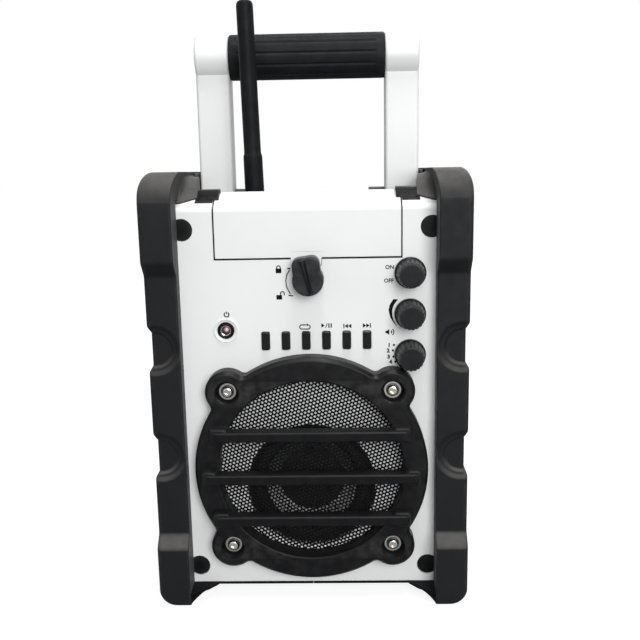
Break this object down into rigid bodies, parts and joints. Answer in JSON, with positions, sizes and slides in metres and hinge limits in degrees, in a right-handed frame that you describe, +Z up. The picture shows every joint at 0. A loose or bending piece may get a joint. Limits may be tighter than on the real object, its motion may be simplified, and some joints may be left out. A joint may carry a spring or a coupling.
{
  "type": "jobsite radio",
  "caption": "Upright jobsite radio with white shell, black rubber side bumpers, barred round speaker guard, rotary knobs, push buttons, lidded device bay, carry handle and short antenna.",
  "frame": {"origin": "middle of the footprint, on the surface that the feet stand on", "axes": "+Z up, +X to the right seen from the front, -Y towards the front (speaker side)"},
  "size_m": [0.226, 0.174, 0.4343],
  "materials": {
    "white_plastic": "moulded white plastic, semi-gloss",
    "black_plastic": "moulded black plastic, satin",
    "grey_plastic": "dark grey moulded plastic, matt",
    "rubber_bumper": "dark grey moulded rubber, satin",
    "steel": "plain steel",
    "steel_tube": "drawn steel tube",
    "plated_metal": "plated socket shells",
    "led_lens": "clear epoxy lens with a pink tint",
    "black_metal": "perforated steel, black powder coat",
    "grey_metal": "pressed steel, dark grey",
    "ferrite": "ferrite ring between zinc-plated plates",
    "rubber_surround": "soft rubber, matt",
    "spider_cloth": "stiffened corrugated cloth",
    "board": "green circuit board",
    "cap_black": "black cap",
    "battery_case": "battery case",
    "contact_brass": "contact blades in a holder",
    "antenna_rubber": "black rubber, satin",
    "seal_rubber": "foam rubber strip",
    "knob_plastic": "black knobs, satin",
    "button_plastic": "black buttons, satin",
    "grip_rubber": "moulded rubber grip, satin",
    "cone_paper": "light grey coated cone",
    "coil_copper": "copper winding on a former"
  },
  "bodies": {
    "housing": {"front_panel": "white_plastic", "main_housing": "white_plastic", "rear_cover": "black_plastic", "bumper_left": "rubber_bumper", "bumper_right": "rubber_bumper", "corner_screws": "black_plastic", "rear_screws": "steel", "hinge_brackets": "black_plastic", "hinge_pins": "steel", "device_tray": "grey_plastic", "compartment_sockets": "plated_metal", "latch_plate": "white_plastic", "led_bezel": "white_plastic", "led": "led_lens", "speaker_guard": "black_plastic", "guard_screws": "steel", "guard_washers": "steel", "grille_mesh": "black_metal", "speaker_basket": "grey_metal", "speaker_magnet": "ferrite", "speaker_surround": "rubber_surround", "speaker_spider": "spider_cloth", "speaker_screws": "steel", "main_board": "board", "power_switch": "grey_plastic", "volume_control": "grey_plastic", "source_selector": "grey_plastic", "control_nuts": "steel", "button_board": "board", "battery_pack": "battery_case", "battery_terminals": "contact_brass", "door_pin": "steel", "dc_jack": "black_plastic", "antenna_base": "antenna_rubber", "handle_pins": "steel"},
    "lid": {"compartment_lid": "white_plastic", "lid_seal": "seal_rubber"},
    "latch": {"latch_knob": "knob_plastic", "latch_retainer": "steel"},
    "power_dial": {"power_knob": "knob_plastic", "power_shaft": "steel"},
    "volume_dial": {"volume_knob": "knob_plastic", "volume_shaft": "steel"},
    "source_dial": {"source_knob": "knob_plastic", "source_shaft": "steel"},
    "key_1": {"button_1": "button_plastic"},
    "key_2": {"button_2": "button_plastic"},
    "key_3": {"button_3": "button_plastic"},
    "key_4": {"button_4": "button_plastic"},
    "key_5": {"button_5": "button_plastic"},
    "key_6": {"button_6": "button_plastic"},
    "handle": {"handle_leg_left": "white_plastic", "handle_leg_right": "white_plastic", "handle_grip": "grip_rubber", "handle_core": "steel_tube"},
    "antenna": {"antenna_whip": "antenna_rubber"},
    "cone": {"speaker_cone": "cone_paper", "dust_cap": "cap_black", "voice_coil": "coil_copper"},
    "door": {"battery_door": "black_plastic"}
  },
  "joints": [
    {"name": "lid_hinge", "type": "hinge", "parent": "housing", "child": "lid", "pos_m": [0, -0.0458, 0.2962], "axis": [-1, 0, 0], "range_deg": [0, 100]},
    {"name": "latch_turn", "type": "hinge", "parent": "housing", "child": "latch", "pos_m": [0.0009, -0.065, 0.2406], "axis": [0, -1, 0], "range_deg": [0, 75]},
    {"name": "power_turn", "type": "hinge", "parent": "housing", "child": "power_dial", "pos_m": [0.072, -0.065, 0.2437], "axis": [0, 1, 0], "range_deg": [0, 50]},
    {"name": "volume_turn", "type": "hinge", "parent": "housing", "child": "volume_dial", "pos_m": [0.072, -0.065, 0.21445], "axis": [0, 1, 0], "range_deg": [0, 280]},
    {"name": "source_turn", "type": "hinge", "parent": "housing", "child": "source_dial", "pos_m": [0.072, -0.065, 0.1852], "axis": [0, 1, 0], "range_deg": [0, 90]},
    {"name": "button_1_press", "type": "slide", "parent": "housing", "child": "key_1", "axis": [0, 1, 0], "range_m": [0, 0.0012], "stiffness_N_per_m": 300},
    {"name": "button_2_press", "type": "slide", "parent": "housing", "child": "key_2", "axis": [0, 1, 0], "range_m": [0, 0.0012], "stiffness_N_per_m": 300},
    {"name": "button_3_press", "type": "slide", "parent": "housing", "child": "key_3", "axis": [0, 1, 0], "range_m": [0, 0.0012], "stiffness_N_per_m": 300},
    {"name": "button_4_press", "type": "slide", "parent": "housing", "child": "key_4", "axis": [0, 1, 0], "range_m": [0, 0.0012], "stiffness_N_per_m": 300},
    {"name": "button_5_press", "type": "slide", "parent": "housing", "child": "key_5", "axis": [0, 1, 0], "range_m": [0, 0.0012], "stiffness_N_per_m": 300},
    {"name": "button_6_press", "type": "slide", "parent": "housing", "child": "key_6", "axis": [0, 1, 0], "range_m": [0, 0.0012], "stiffness_N_per_m": 300},
    {"name": "handle_fold", "type": "hinge", "parent": "housing", "child": "handle", "pos_m": [0, 0.023, 0.289], "axis": [-1, 0, 0], "range_deg": [0, 90]},
    {"name": "antenna_flex", "type": "hinge", "parent": "housing", "child": "antenna", "pos_m": [-0.0391, -0.015, 0.3322], "axis": [0, 1, 0], "range_deg": [-15, 15], "stiffness_Nm_per_rad": 0.06},
    {"name": "cone_travel", "type": "slide", "parent": "housing", "child": "cone", "axis": [0, 1, 0], "range_m": [-0.002, 0.002], "stiffness_N_per_m": 1200, "deforming": ["speaker_surround", "speaker_spider"]},
    {"name": "door_hinge", "type": "hinge", "parent": "housing", "child": "door", "pos_m": [0, 0.0716, 0.023], "axis": [-1, 0, 0], "range_deg": [0, 90]}
  ]
}
